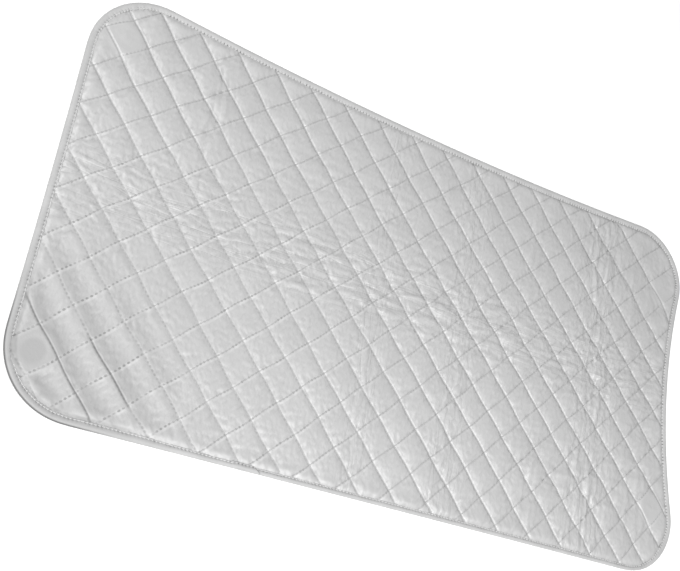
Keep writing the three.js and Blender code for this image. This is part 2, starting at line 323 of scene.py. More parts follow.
def edge_course():
    """Evenly spaced points round the pad's outer edge, anticlockwise, and the outward direction at each."""
    corner_x = LENGTH / 2 - CORNER_RADIUS
    corner_y = DEPTH / 2 - CORNER_RADIUS
    centres = np.array([
        (corner_x, -corner_y), (corner_x, corner_y), (-corner_x, corner_y), (-corner_x, -corner_y),
    ])
    share = np.linspace(0, 1, STRETCH_POINTS, endpoint=False)[:, None]
    rough = []
    for index, side in enumerate(("right", "rear", "left", "front")):
        facing = index * math.pi / 2
        turn = facing - (1 - share) * math.pi / 2
        rough.append(centres[index] + CORNER_RADIUS * np.hstack([np.cos(turn), np.sin(turn)]))
        out = CORNER_RADIUS - DRAW_INS[side] * 4 * share * (1 - share)
        along = centres[index] + share * (centres[(index + 1) % 4] - centres[index])
        rough.append(along + out * np.array([math.cos(facing), math.sin(facing)]))
    rough = np.concatenate(rough)
    lengths = np.linalg.norm(np.roll(rough, -1, axis=0) - rough, axis=1)
    reached = np.concatenate([[0], np.cumsum(lengths)])
    closed = np.vstack([rough, rough[:1]])
    count = round(reached[-1] / EDGE_STEP)
    places = np.arange(count) * reached[-1] / count
    points = np.stack([np.interp(places, reached, closed[:, axis]) for axis in (0, 1)], axis=1)
    for _ in range(EDGE_EASING):
        points = (np.roll(points, 1, axis=0) + 2 * points + np.roll(points, -1, axis=0)) / 4
    heading = np.roll(points, -1, axis=0) - np.roll(points, 1, axis=0)
    heading /= np.linalg.norm(heading, axis=1)[:, None]
    outward = np.stack([heading[:, 1], -heading[:, 0]], axis=1)
    return points, outward


EDGE_POINTS, EDGE_OUTWARD = edge_course()
EDGE_COUNT = len(EDGE_POINTS)
ON_FRONT = EDGE_OUTWARD[:, 1] < -FRONT_FACING
EDGE_TREE = kdtree.KDTree(EDGE_COUNT)
for edge_index, edge_point in enumerate(EDGE_POINTS):
    EDGE_TREE.insert((edge_point[0], edge_point[1], 0), edge_index)
EDGE_TREE.balance()

# Share of its full width that the tape covers at each edge point: it is narrower along the front
TAPE_SHARE = 1 - (
    FRONT_NARROWING * smooth_rise(-EDGE_OUTWARD[:, 1], *NARROWING_FACE)
    * smooth_rise(EDGE_POINTS[:, 0], *NARROWING_START)
)


def nearest_edge(places):
    """How far each place lies inside the edge, for the full width of tape, and its nearest edge point."""
    nearest = np.array([EDGE_TREE.find((x, y, 0))[1] for x, y in places])
    inset = ((EDGE_POINTS[nearest] - places) * EDGE_OUTWARD[nearest]).sum(axis=1)
    return inset / TAPE_SHARE[nearest], nearest


def insets_of(places):
    """How far places lie inside the edge, with -1 for those beyond the pad's sides."""
    near = (np.abs(places[:, 0]) < LENGTH / 2) & (np.abs(places[:, 1]) < DEPTH / 2)
    inset = np.full(len(places), -1.0)
    if near.any():
        inset[near] = nearest_edge(places[near])[0]
    return inset


def row_sway(row, along):
    """How far a sewn row strays sideways."""
    return ROW_SWAY * sum(np.sin(turn * along + shift * row) for turn, shift in ROW_WAVES)


def between_rows(row_steps, along):
    """Sway at places between two rows, taken from both."""
    row = np.floor(row_steps)
    part = row_steps - row
    return (1 - part) * row_sway(row, along) + part * row_sway(row + 1, along)


def quilt_to_pad(rising, falling):
    """Places on the pad of points counted in steps along the rising and the falling rows."""
    rising = np.asarray(rising, dtype=float)
    falling = np.asarray(falling, dtype=float)
    along_rising = np.array([math.cos(QUILT_TURN), math.sin(QUILT_TURN)])
    along_falling = np.array([-math.sin(QUILT_TURN), math.cos(QUILT_TURN)])
    sideways = rising * RISING_STEP + between_rows(rising, falling)
    upwards = falling * FALLING_STEP + between_rows(falling, rising)
    straight = LATTICE + np.multiply.outer(sideways, along_rising)
    straight = straight + np.multiply.outer(upwards, along_falling)
    # Slow drift over the pad, by the shares of its half length and half depth
    x = straight[..., 0] / (LENGTH / 2)
    y = straight[..., 1] / (DEPTH / 2)
    along = -1.9 - 3.6 * x - 10.0 * y + 4.8 * x * x + 7.0 * x * x * y + 5.1 * y**3
    across = -1.3 + 3.7 * y + 9.0 * x * x + 3.0 * x * y - 5.5 * y * y - 5.1 * x * x * y - 2.3 * y**3
    along -= FRONT_CORNER_DRIFT * (1 - smooth_rise(distance(straight, FRONT_LEFT), *FRONT_DRIFT_FADE))
    along += REAR_CORNER_DRIFT * (1 - smooth_rise(distance(straight, REAR_RIGHT), *REAR_DRIFT_FADE))
    from_corner = np.linalg.norm((straight - FRONT_LEFT) * FRONT_SINK_SHAPE, axis=-1)
    across -= FRONT_CORNER_SINK * (1 - smooth_rise(from_corner, *FRONT_SINK_FADE))
    return straight + along[..., None] * along_rising + across[..., None] * along_falling


def past_falling_row(rising):
    """Steps past the nearest falling row, from -0.5 to 0.5, and 0.5 all over the rear right corner."""
    return np.minimum(rising - np.minimum(np.round(rising), LAST_FALLING_ROW), HALF_CELL)


def off_rising_row(falling):
    """Distance from the nearest rising row, in steps."""
    return np.abs(falling - np.round(falling))


def quilt_sheet(name, divisions, edge_inset):
    """A flat sheet cut to the pad's outline, in millimetres, with its mesh along the rows of the quilting.

    Its attribute quilt_place keeps each point's steps along the rising and falling rows, and its inset."""
    sheet = bmesh.new()
    count = 2 * CELLS_OUT * divisions
    bmesh.ops.create_grid(sheet, x_segments=count, y_segments=count, size=CELLS_OUT)
    place_layer = sheet.verts.layers.float_vector.new("quilt_place")
    steps = np.array([vert.co[:2] for vert in sheet.verts])
    steps = np.round(steps * divisions) / divisions
    places = quilt_to_pad(steps[:, 0], steps[:, 1])
    inset = insets_of(places)
    kept = inset > edge_inset
    for index, vert in enumerate(sheet.verts):
        vert.index = index
        vert.co = (places[index, 0], places[index, 1], 0)
        vert[place_layer] = (steps[index, 0], steps[index, 1], inset[index])
    bmesh.ops.delete(sheet, geom=[vert for vert in sheet.verts if not kept[vert.index]], context="VERTS")
    bmesh.ops.delete(sheet, geom=[vert for vert in sheet.verts if not vert.link_faces], context="VERTS")
    mesh = bpy.data.meshes.new(name)
    sheet.to_mesh(mesh)
    sheet.free()
    return mesh


def points_of(mesh):
    """A mesh's points as an array."""
    points = np.zeros(len(mesh.vertices) * 3, dtype=np.float32)
    mesh.vertices.foreach_get("co", points)
    return points.reshape(-1, 3).astype(float)


def place_points(mesh, points):
    """Moves a mesh's points."""
    mesh.vertices.foreach_set("co", np.asarray(points, dtype=np.float32).ravel())
    mesh.update()


def quilt_places(mesh):
    """Steps along the rising rows, steps along the falling rows, and insets of a quilted sheet's points."""
    places = np.zeros(len(mesh.vertices) * 3, dtype=np.float32)
    mesh.attributes["quilt_place"].data.foreach_get("vector", places)
    return places.reshape(-1, 3).astype(float).T


def keep_value(mesh, name, values):
    """Keeps a number at each of a mesh's points, for its finish."""
    layer = mesh.attributes.new(name, "FLOAT", "POINT")
    layer.data.foreach_set("value", np.asarray(values, dtype=np.float32))


def add_piece(name, mesh):
    """A smooth-shaded object for a finished mesh, riding on the pad."""
    mesh.polygons.foreach_set("use_smooth", np.ones(len(mesh.polygons), dtype=bool))
    piece = bpy.data.objects.new(name, mesh)
    bpy.context.scene.collection.objects.link(piece)
    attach(piece, "root")
    return piece


def corner_share(places):
    """1 in the curled front left corner, falling to 0 inside it."""
    return 1 - smooth_rise(distance(places, FRONT_LEFT), *CORNER_FADE)


def worn_share(places):
    """1 where the pad is pressed flat, in front on the left, falling to 0 toward the rear and the right."""
    at_left = 1 - smooth_rise(places[:, 0], *WORN_FADE_RIGHT)
    return at_left * (1 - smooth_rise(places[:, 1], *WORN_FADE_REAR))


def crease_lift(places):
    """Height that the creases add: billows drawn out along each fold, with sharp valleys between them."""
    lift = np.zeros(len(places))
    for number, (side, middle, reach, start, end, height) in enumerate(CREASES):
        along, across = places.T if side == "length" else places.T[::-1]
        share = 1 - smooth_rise(np.abs(across - middle), CREASE_CORE * reach, reach)
        share *= (
            smooth_rise(along, start - CREASE_END_OUTSIDE, start + CREASE_END_INSIDE)
            * (1 - smooth_rise(along, end - CREASE_END_INSIDE, end + CREASE_END_OUTSIDE))
        )
        creased = np.flatnonzero(share)
        lengthwise = along[creased]
        bends = lengthwise / CREASE_BEND_LENGTH
        bend = np.array([noise.noise(Vector((place, number, 9))) for place in bends])
        crosswise = across[creased] + CREASE_BEND * bend
        spots = np.stack([lengthwise / CREASE_LENGTH, crosswise / CREASE_GAP], axis=1)
        billow = np.array([abs(noise.noise(Vector((*spot, number)))) for spot in spots])
        lift[creased] += height * share[creased] * (2 * billow - CREASE_VALLEY)
    return lift


def gather_lift(places, inset, nearest):
    """Height that the gathers add along the edge."""
    reach = smooth_rise(inset, *GATHER_RISE) * (1 - smooth_rise(inset, *GATHER_FADE))
    gathered = np.flatnonzero(reach)
    outward = EDGE_OUTWARD[nearest]
    side = np.maximum(
        smooth_rise(-outward[:, 1], *SIDE_GATHER_FACE),
        smooth_rise(outward[:, 0], *SIDE_GATHER_FACE),
    )
    height = GATHER_HEIGHT + SIDE_GATHER_HEIGHT * side * smooth_rise(places[:, 0], *SIDE_GATHER_START)
    spots = np.stack([nearest * EDGE_STEP / GATHER_GAP, inset / GATHER_LENGTH], axis=1)[gathered]
    lift = np.zeros(len(places))
    lift[gathered] = np.array([abs(noise.noise(Vector((*spot, 20)))) for spot in spots])
    return height * reach * lift * 2


def row_height(rising, places):
    """Height of the cover along the rows and, between them, of the face that the cells rise from."""
    inset, nearest = nearest_edge(places)
    beside = past_falling_row(rising) * RISING_STEP
    sunk = smooth_rise(np.abs(beside), 0, CHANNEL_SLOPE)
    base = FALLING_CHANNEL + (RISING_CHANNEL - FALLING_CHANNEL) * sunk
    fold = 1 - smooth_rise(np.where(beside > 0, beside / FOLD_RIGHT, -beside / FOLD_LEFT), 0, 1)
    base = base + crease_lift(places) + CORNER_FOLD * corner_share(places) * fold
    height = RIM_HEIGHT + (base - RIM_HEIGHT) * smooth_rise(inset, *FACE_RISE)
    return height + gather_lift(places, inset, nearest)


def crown_height(rising, falling, places):
    """How far the cells rise: not at all on a row or at the rim, and most in the middle of a cell."""
    inset, _ = nearest_edge(places)
    across = 1 - (1 - 2 * np.abs(past_falling_row(rising))) ** 2
    along = 1 - (1 - 2 * off_rising_row(falling)) ** 2
    middle = 1 - smooth_rise(np.abs(places[:, 0]), *MIDDLE_FADE)
    fullness = 1 - MIDDLE_FLATNESS * middle - WORN_FLATNESS * worn_share(places)
    fullness = fullness - CORNER_FLATNESS * corner_share(places)
    crown = CROWN * fullness * (across * along) ** PUFF_FULLNESS * smooth_rise(inset, *CROWN_RISE)
    roll = smooth_rise(inset, *ROLL_RISE) * (1 - smooth_rise(inset, *ROLL_FADE))
    return crown + EDGE_ROLL * (roll * (across * along) ** ROLL_FULLNESS)


def cut_length(places, folds):
    """Places along the cloth before it was sewn: a little further apart, and more so over the folds."""
    spread = np.vectorize(math.erf)
    longer = places * (1 + SPARE_CLOTH)
    for middle, width, spare in folds:
        longer = longer + spare * width * math.sqrt(math.pi) / 2 * spread((places - middle) / width)
    return longer


def settle_cover(mesh):
    """Lets the cover settle as cloth: cut too large, drawn in by the sewing, and held up by the wadding."""
    sewn = points_of(mesh)
    rising, falling, inset = quilt_places(mesh)
    on_row = (np.abs(past_falling_row(rising)) < ON_ROW) | (off_rising_row(falling) < ON_ROW)
    on_row = on_row | (inset < SEAM_INSET + 1)
    unevenness = np.random.default_rng(CLOTH_SEED).normal(0, CLOTH_UNEVENNESS, len(sewn))
    cut = np.stack([
        cut_length(sewn[:, 0], FOLDS_ACROSS_LENGTH),
        cut_length(sewn[:, 1], FOLDS_ACROSS_DEPTH),
        np.where(on_row, 0, unevenness),
    ], axis=1)
    trial = mesh.copy()
    place_points(trial, cut * SETTLING_SCALE)
    cloth = bpy.data.objects.new("settling_cloth", trial)
    bpy.context.scene.collection.objects.link(cloth)
    cloth.shape_key_add(name="cut")
    sewn_key = cloth.shape_key_add(name="sewn")
    sewn_key.data.foreach_set("co", (sewn * SETTLING_SCALE).astype(np.float32).ravel())
    for value, number in ((0, 1), (1, SEWING_FRAMES)):
        sewn_key.value = value
        sewn_key.keyframe_insert("value", frame=number)
    held = cloth.vertex_groups.new(name="held")
    held.add(np.flatnonzero(on_row).tolist(), 1.0, "REPLACE")
    held.add(np.flatnonzero(~on_row).tolist(), WADDING_HOLD, "REPLACE")
    modifier = cloth.modifiers.new("settling", "CLOTH")
    settings = modifier.settings
    settings.quality = 5
    settings.mass = 0.02
    settings.air_damping = 2
    settings.tension_stiffness = 20
    settings.compression_stiffness = 20
    settings.shear_stiffness = 5
    settings.bending_stiffness = 0.02
    settings.tension_damping = 2
    settings.compression_damping = 2
    settings.shear_damping = 2
    settings.vertex_group_mass = "held"
    settings.pin_stiffness = 1
    settings.effector_weights.gravity = 0
    modifier.collision_settings.use_collision = False
    modifier.point_cache.frame_start = 1
    modifier.point_cache.frame_end = SETTLING_FRAMES
    scene = bpy.context.scene
    for number in range(1, SETTLING_FRAMES + 1):
        scene.frame_set(number)
    settled = points_of(cloth.evaluated_get(bpy.context.evaluated_depsgraph_get()).data) / SETTLING_SCALE
    bpy.data.objects.remove(cloth)
    bpy.data.meshes.remove(trial)
    scene.frame_set(1)
    return settled


def magnet_centre(name):
    """Where a magnet lies on the pad."""
    low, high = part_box(name)
    return np.array([(low.x + high.x) / 2, (low.y + high.y) / 2]) / MM


def press_magnets(points):
    """Lays the cover over each magnet. The front left one shows as a flat disc with a raised ring."""
    rim = MAGNET_RADIUS + MAGNET_FADE
    for name in MAGNETS:
        away = distance(points[:, :2], magnet_centre(name))
        over = 1 - smooth_rise(away, MAGNET_RADIUS + MAGNET_OVERLAP, rim)
        points[:, 2] += over * np.maximum(MAGNET_PRINT_HEIGHT - points[:, 2], 0)
        if name == PLAIN_MAGNET:
            ring = 1 - smooth_rise(away, MAGNET_RADIUS + MAGNET_RING_WIDTH, rim)
            points[:, 2] += ring * np.maximum(MAGNET_RING_HEIGHT - points[:, 2], 0)
            flat = 1 - smooth_rise(away, MAGNET_RADIUS - MAGNET_PRINT_EDGE, MAGNET_RADIUS + MAGNET_PRINT_EDGE)
            points[:, 2] += flat * (MAGNET_PRINT_HEIGHT - points[:, 2])


def cloth_relief(mesh, heights):
    """How far each point stands above or below its surroundings, in millimetres."""
    ends = np.zeros(len(mesh.edges) * 2, dtype=np.int32)
    mesh.edges.foreach_get("vertices", ends)
    first, second = ends.reshape(-1, 2).T
    links = np.bincount(ends, minlength=len(heights))
    mean = heights
    for _ in range(RELIEF_REACH):
        around = np.bincount(first, mean[second], len(mean)) + np.bincount(second, mean[first], len(mean))
        mean = (mean + around) / (links + 1)
    return heights - mean


def make_cover():
    """The quilted cover with its wadding: a closed form, puffed between the rows and flat underneath."""
    mesh = quilt_sheet("quilted_cover", COVER_DIVISIONS, COVER_EDGE_INSET)
    rising, falling, _ = quilt_places(mesh)
    points = points_of(mesh)
    points[:, 2] = row_height(rising, points[:, :2]) + crown_height(rising, falling, points[:, :2])
    place_points(mesh, points)
    points = points + np.clip(settle_cover(mesh) - points, -MOST_SETTLING, MOST_SETTLING)
    press_magnets(points)
    keep_value(mesh, "cloth_relief", cloth_relief(mesh, points[:, 2]))
    place_points(mesh, points * MM)
    form = bmesh.new()
    form.from_mesh(mesh)
    rim = [edge for edge in form.edges if edge.is_boundary]
    skirt = bmesh.ops.extrude_edge_only(form, edges=rim)["geom"]
    for vert in skirt:
        if isinstance(vert, bmesh.types.BMVert):
            vert.co.z = FILL_FOOT * MM
    foot = [edge for edge in skirt if isinstance(edge, bmesh.types.BMEdge) and edge.is_boundary]
    bmesh.ops.triangle_fill(form, edges=foot, use_beauty=True)
    bmesh.ops.recalc_face_normals(form, faces=form.faces)
    form.to_mesh(mesh)
    form.free()
    return add_piece("quilted_cover", mesh)


def make_backing():
    """The backing cloth, flat on the floor in each cell and drawn up along the rows and at the rim."""
    mesh = quilt_sheet("backing_sheet", BACKING_DIVISIONS, BACKING_EDGE_INSET)
    rising, falling, inset = quilt_places(mesh)
    points = points_of(mesh)
    puff = np.abs(np.sin(np.pi * past_falling_row(rising)) * np.sin(np.pi * falling)) ** BACKING_FULLNESS
    rim = 1 - smooth_rise(inset, BINDING_WIDTH, BINDING_WIDTH + BACKING_RIM_FADE)
    points[:, 2] = np.maximum(BACKING_CHANNEL * (1 - puff), BACKING_RIM * rim)
    place_points(mesh, points * MM)
    piece = add_piece("backing_sheet", mesh)
    thickness = piece.modifiers.new("cloth", "SOLIDIFY")
    thickness.thickness = BACKING_CLOTH * MM
    thickness.offset = 1
    return piece


# Section of the folded tape, as inset and height: from its inner edge underneath, round to its inner edge
# on top, and back inside the fold. TAPE_TOP numbers the points of its upper side.
TAPE_SECTION = (
    (8.6, 0.0), (6.0, 0.0), (3.0, 0.0), (1.6, 0.05), (0.6, 0.4), (0.1, 1.1), (0.0, 2.0), (0.1, 2.9),
    (0.6, 3.7), (1.6, 4.2), (3.0, 4.35), (4.4, 4.2), (5.6, 3.9), (6.4, 3.5), (7.0, 3.3), (7.5, 3.35),
    (8.0, 3.5), (8.3, 3.4), (8.4, 3.15), (8.2, 2.95), (7.6, 2.85), (7.0, 2.8), (5.6, 3.3), (3.0, 3.85),
    (1.2, 3.4), (0.6, 2.7), (0.5, 2.0), (0.7, 1.2), (1.3, 0.6), (3.0, 0.45), (6.0, 0.45), (8.6, 0.45),
)
TAPE_TOP = range(9, 24)


def make_binding():
    """The tape folded over the edge, puckered round the corners and drawn down along its seam."""
    ring = bmesh.new()
    bmesh.ops.create_circle(ring, cap_ends=False, segments=EDGE_COUNT, radius=1)
    station_layer = ring.verts.layers.int.new("station")
    place_layer = ring.verts.layers.float_vector.new("tape_place")
    for station, vert in enumerate(ring.verts):
        vert[station_layer] = station
    along = np.arange(EDGE_COUNT) * EDGE_STEP
    turning = np.abs(np.gradient(np.unwrap(np.arctan2(EDGE_OUTWARD[:, 1], EDGE_OUTWARD[:, 0]))))
    corner = np.clip(turning / turning.max(), 0, 1)
    pucker = noise_along(along, PUCKER_LENGTH, 3.1)
    ripple = noise_along(along, RIPPLE_LENGTH, 8.4)
    pull = np.clip(0.5 + noise_along(along, DIP_LENGTH, 5.7), 0.1, 1)
    dip = (0.5 + 0.5 * np.cos(2 * np.pi * along / BINDING_STITCH)) * pull
    current = list(ring.verts)
    edges = list(ring.edges)
    across = 0.0
    for index, (inset, height) in enumerate(TAPE_SECTION + TAPE_SECTION[:1]):
        if index > 0:
            geom = bmesh.ops.extrude_edge_only(ring, edges=edges)["geom"]
            current = [item for item in geom if isinstance(item, bmesh.types.BMVert)]
            edges = [item for item in geom if isinstance(item, bmesh.types.BMEdge)]
            across += math.dist(TAPE_SECTION[index - 1], (inset, height))
        heights = np.full(EDGE_COUNT, height)
        insets = np.full(EDGE_COUNT, inset)
        if index in TAPE_TOP:
            past_lap = LAP_PLACE + LAP_SLANT * (LAP_MIDDLE - inset) - EDGE_POINTS[:, 0]
            lap = ON_FRONT * smooth_rise(past_lap, 0, 1) * (1 - smooth_rise(past_lap, *LAP_FADE))
            waves = pucker * (TAPE_PUCKER + CORNER_PUCKER * corner) + TAPE_RIPPLE * ripple
            heights += waves * smooth_rise(insets, *TAPE_WAVE_RISE)
            heights += LAP_HEIGHT * lap - SEAM_DIP * dip * smooth_rise(insets, *SEAM_DIP_RISE)
            frill = EDGE_RIPPLE * ripple + EDGE_PUCKER * pucker
            insets += frill * smooth_rise(insets, *FRILL_RISE) + LAP_WIDENING * inset * lap
        spots = EDGE_POINTS - EDGE_OUTWARD * (insets * TAPE_SHARE)[:, None]
        for vert in current:
            station = vert[station_layer]
            vert.co = Vector((spots[station, 0], spots[station, 1], heights[station])) * MM
            vert[place_layer] = (along[station], across, inset)
    bmesh.ops.remove_doubles(ring, verts=ring.verts, dist=1e-6)
    bmesh.ops.recalc_face_normals(ring, faces=ring.faces)
    mesh = bpy.data.meshes.new("edge_tape")
    ring.to_mesh(mesh)
    ring.free()
    return add_piece("edge_tape", mesh)


def stitch_shape():
    """One stitch along +X, one long and two thick, bent down at both ends into the needle holes."""
    stitch = bmesh.new()
    bmesh.ops.create_circle(stitch, cap_ends=True, segments=THREAD_SIDES, radius=1)
    bmesh.ops.rotate(stitch, verts=stitch.verts, matrix=Matrix.Rotation(math.pi / 2, 3, "Y"))
    bmesh.ops.translate(stitch, verts=stitch.verts, vec=(-0.5, 0, -STITCH_DIP))
    front = list(stitch.faces)
    for forward, lift in ((STITCH_BEND, STITCH_DIP), (1 - 2 * STITCH_BEND, 0), (STITCH_BEND, -STITCH_DIP)):
        moved = bmesh.ops.extrude_face_region(stitch, geom=front)["geom"]
        front = [item for item in moved if isinstance(item, bmesh.types.BMFace)]
        verts = [item for item in moved if isinstance(item, bmesh.types.BMVert)]
        bmesh.ops.translate(stitch, verts=verts, vec=(forward, 0, lift))
    bmesh.ops.recalc_face_normals(stitch, faces=stitch.faces)
    mesh = bpy.data.meshes.new("stitch")
    stitch.to_mesh(mesh)
    stitch.free()
    return mesh


def lay_stitches(name, stitches, radius, shade):
    """Lays a stitch between each two needle holes, up or down, as one piece of one shade."""
    shape = stitch_shape()
    rows = bmesh.new()
    for start, end, up in stitches:
        heading = end - start
        sideways = up.cross(heading).normalized()
        upwards = heading.cross(sideways).normalized()
        place = Matrix((heading, sideways * radius, upwards * radius)).transposed().to_4x4()
        place.translation = (start + end) / 2 + upwards * radius * 0.5
        place = Matrix.Scale(MM, 4) @ place
        laid = shape.copy()
        laid.transform(place)
        rows.from_mesh(laid)
        bpy.data.meshes.remove(laid)
    bpy.data.meshes.remove(shape)
    mesh = bpy.data.meshes.new(name)
    rows.to_mesh(mesh)
    rows.free()
    keep_value(mesh, "thread_shade", np.full(len(mesh.vertices), shade))
    return add_piece(name, mesh)


def row_stitches(step, last_row, steps_of):
    """Stitches of all rows in one direction, on the cover and under the backing."""
    part = QUILTING_STITCH / step
    count = int(CELLS_OUT / part)
    holes = np.arange(-count, count + 1) * part
    stitches = []
    for row in range(-CELLS_OUT, last_row + 1):
        rising, falling = steps_of(holes, np.full(len(holes), float(row)))
        places = quilt_to_pad(rising, falling)
        sewn = insets_of(places) > SEAM_INSET
        if not sewn.any():
            continue
        heights = np.zeros(len(places))
        heights[sewn] = row_height(rising[sewn], places[sewn])
        heights[sewn] -= CORNER_STITCH_SINK * corner_share(places[sewn])
        for index in np.flatnonzero(sewn[:-1] & sewn[1:]):
            ends = (index, index + 1)
            stitches.append([Vector((*places[end], heights[end])) for end in ends] + [UPWARD])
            stitches.append([Vector((*places[end], BACKING_CHANNEL)) for end in ends] + [-UPWARD])
    return stitches


def seam_stitches():
    """Stitches that hold the tape down, above and below, with two long ones over the lapped join."""
    count = round(EDGE_COUNT * EDGE_STEP / BINDING_STITCH)
    holes = np.round(np.arange(count) * EDGE_COUNT / count).astype(int)
    seam = EDGE_POINTS - EDGE_OUTWARD * (SEAM_INSET * TAPE_SHARE)[:, None]
    tightness = SEAM_UNEVENNESS * noise_along(holes * EDGE_STEP, SEAM_UNEVEN_LENGTH, 2.2)
    sunk = REAR_SEAM_SINK * smooth_rise(seam[holes, 0], *REAR_SEAM_FROM_LEFT)
    sunk = sunk * smooth_rise(seam[holes, 1], *REAR_SEAM_FROM_FRONT)
    heights = SEAM_HEIGHT - (tightness + sunk)
    stitches = []
    for hole, following, height in zip(holes, np.roll(holes, -1), heights):
        start = Vector((*seam[hole], height))
        end = Vector((*seam[following], height))
        middle = (start + end) / 2
        half = (end - start) * (SEAM_STITCH_SHARE / 2)
        stitches.append([middle - half, middle + half, UPWARD])
        under = [Vector((*seam[index], UNDER_SEAM_HEIGHT)) for index in (hole, following)]
        stitches.append(under + [-UPWARD])
    front = np.flatnonzero(ON_FRONT)
    for span in LAP_STITCHES:
        ends = [front[np.argmin(np.abs(EDGE_POINTS[front, 0] - LAP_PLACE - place))] for place in span]
        stitches.append([Vector((*seam[end], SEAM_HEIGHT + LAP_STITCH_LIFT)) for end in ends] + [UPWARD])
    return stitches


def place_camera():
    """The camera that took the picture."""
    camera_data = bpy.data.cameras.new("camera")
    camera_data.sensor_fit = "HORIZONTAL"
    camera_data.sensor_width = SENSOR_WIDTH
    camera_data.lens = SENSOR_WIDTH * FOCAL_LENGTH / PICTURE_WIDTH
    camera_data.clip_end = CAMERA_REACH * MM
    camera = bpy.data.objects.new("camera", camera_data)
    bpy.context.scene.collection.objects.link(camera)
    turn = Matrix((CAMERA_RIGHT, CAMERA_UP, -CAMERA_VIEW)).transposed().to_4x4()
    turn.translation = CAMERA_PLACE * MM
    camera.matrix_world = turn
    bpy.context.scene.camera = camera


class Wire:
    """A value that runs between a finish's nodes. Arithmetic on it adds Math nodes."""

    def __init__(self, finish, socket):
        self.finish = finish
        self.socket = socket

    def maths(self, operation, *values):
        return self.finish.node("Math", {"operation": operation}, dict(enumerate(values)))

    def __add__(self, other):
        return self.maths("ADD", self, other)

    __radd__ = __add__

    def __sub__(self, other):
        return self.maths("SUBTRACT", self, other)

    def __rsub__(self, other):
        return self.maths("SUBTRACT", other, self)

    def __mul__(self, other):
        return self.maths("MULTIPLY", self, other)

    __rmul__ = __mul__

    def __pow__(self, other):
        return self.maths("POWER", self, other)

    def sine(self):
        return self.maths("SINE", self)

    def size(self):
        return self.maths("ABSOLUTE", self)

    def least(self, other):
        return self.maths("MINIMUM", self, other)

    def past_whole(self):
        """Distance past the nearest whole number, from -0.5 to 0.5."""
        return self.maths("FRACT", self + 0.5) - 0.5

    def off_whole(self):
        """Distance from the nearest whole number."""
        return self.past_whole().size()

    def rise(self, low, high):
        """0 at low and 1 at high, with an even rise between them."""
        return self.finish.node("MapRange", {"interpolation_type": "SMOOTHSTEP"},
                                {"Value": self, "From Min": low, "From Max": high})

    def rise_mm(self, low, high):
        """The same for a value in metres, with its limits in millimetres."""
        return self.rise(low * MM, high * MM)


class Finish:
    """A material and the nodes that feed its shader."""

    def __init__(self, name, **values):
        self.material = bpy.data.materials.new(name)
        self.material.use_nodes = True
        self.tree = self.material.node_tree
        self.shader = self.tree.nodes["Principled BSDF"]
        self.spot = self.node("TexCoord", out="Object")
        for socket, value in values.items():
            self.set(socket.replace("_", " "), value)

    def node(self, kind, settings=None, sockets=None, out=0):
        """Adds a node, makes its settings, feeds its sockets, and returns one of its outputs."""
        node = self.tree.nodes.new("ShaderNode" + kind)
        for name, value in (settings or {}).items():
            setattr(node, name, value)
        for name, value in (sockets or {}).items():
            self.feed(node.inputs[name], value)
        return Wire(self, node.outputs[out])

    def feed(self, socket, value):
        if isinstance(value, Wire):
            self.tree.links.new(value.socket, socket)
        else:
            socket.default_value = value

    def set(self, socket, value):
        """Feeds one of the shader's own sockets."""
        self.feed(self.shader.inputs[socket], value)

    def parts(self, vector):
        """The three numbers of a vector."""
        first = self.node("SeparateXYZ", None, {"Vector": vector}, "X")
        split = first.socket.node
        return [Wire(self, split.outputs[axis]) for axis in "XYZ"]

    def away(self, place):
        """Distance from an upright line through a place on the pad, in metres."""
        x, y, _ = self.parts(self.spot)
        return ((x - place[0] * MM) ** 2 + (y - place[1] * MM) ** 2) ** 0.5

    def kept(self, attribute, out="Vector"):
        """A value that the mesh keeps at its points."""
        return self.node("Attribute", {"attribute_name": attribute}, None, out)

    def mottle(self, size, detail=2.0):
        """Soft random patches of a size in millimetres, from 0 to 1."""
        sockets = {"Vector": self.spot, "Scale": 1 / (size * MM), "Detail": detail}
        return self.node("TexNoise", None, sockets, "Fac")

    def mix(self, share, first, second):
        """A colour between two colours, which are the Mix node's sockets 6 and 7, with output 2."""
        return self.node("Mix", {"data_type": "RGBA"}, {0: share, 6: first, 7: second}, 2)

    def tint(self, colour, share, strength, tone):
        """A grey laid over a colour."""
        return self.mix(share * strength, colour, grey(tone))

    def relief(self, height, depth, strength):
        """Raises the surface by up to depth, in millimetres, where height is 1."""
        sockets = {"Height": height, "Distance": depth * MM, "Strength": strength}
        self.set("Normal", self.node("Bump", None, sockets, "Normal"))

    def fold_marks(self, along, across, middle, reach):
        """Fine creases that run beside an old fold, from 0 to 1."""
        near = 1 - (across - middle * MM).size().rise_mm(reach * 0.2, reach)
        spot = self.node("CombineXYZ", None, {
            "X": along * (1 / (FOLD_MARK_LENGTH * MM)),
            "Y": across * (1 / (FOLD_MARK_GAP * MM)),
            "Z": middle,
        })
        sockets = {"Vector": spot, "Scale": 1, "Detail": 1, "Distortion": 0.6}
        ridge = self.node("TexNoise", None, sockets, "Fac")
        return (1 - (ridge * 2 - 1).size()) ** FOLD_MARK_SHARPNESS * near

    def weave(self, pitch):
        """Plain weave, 0 to 1, with its threads along the pad's sides."""
        x, y, _ = self.parts(self.spot)
        turn = 2 * math.pi / (pitch * MM)
        return (x * turn).sine() * (y * turn).sine() * 0.5 + 0.5


def grey(tone):
    """A neutral colour."""
    return (tone, tone, tone, 1)


def needle_hole(from_hole, from_row, edge):
    """1 in a needle hole, which is drawn out along its row, falling to 0 over its edge."""
    return 1 - (from_hole * from_hole * HOLE_LENGTHENING + from_row * from_row).rise(*edge)


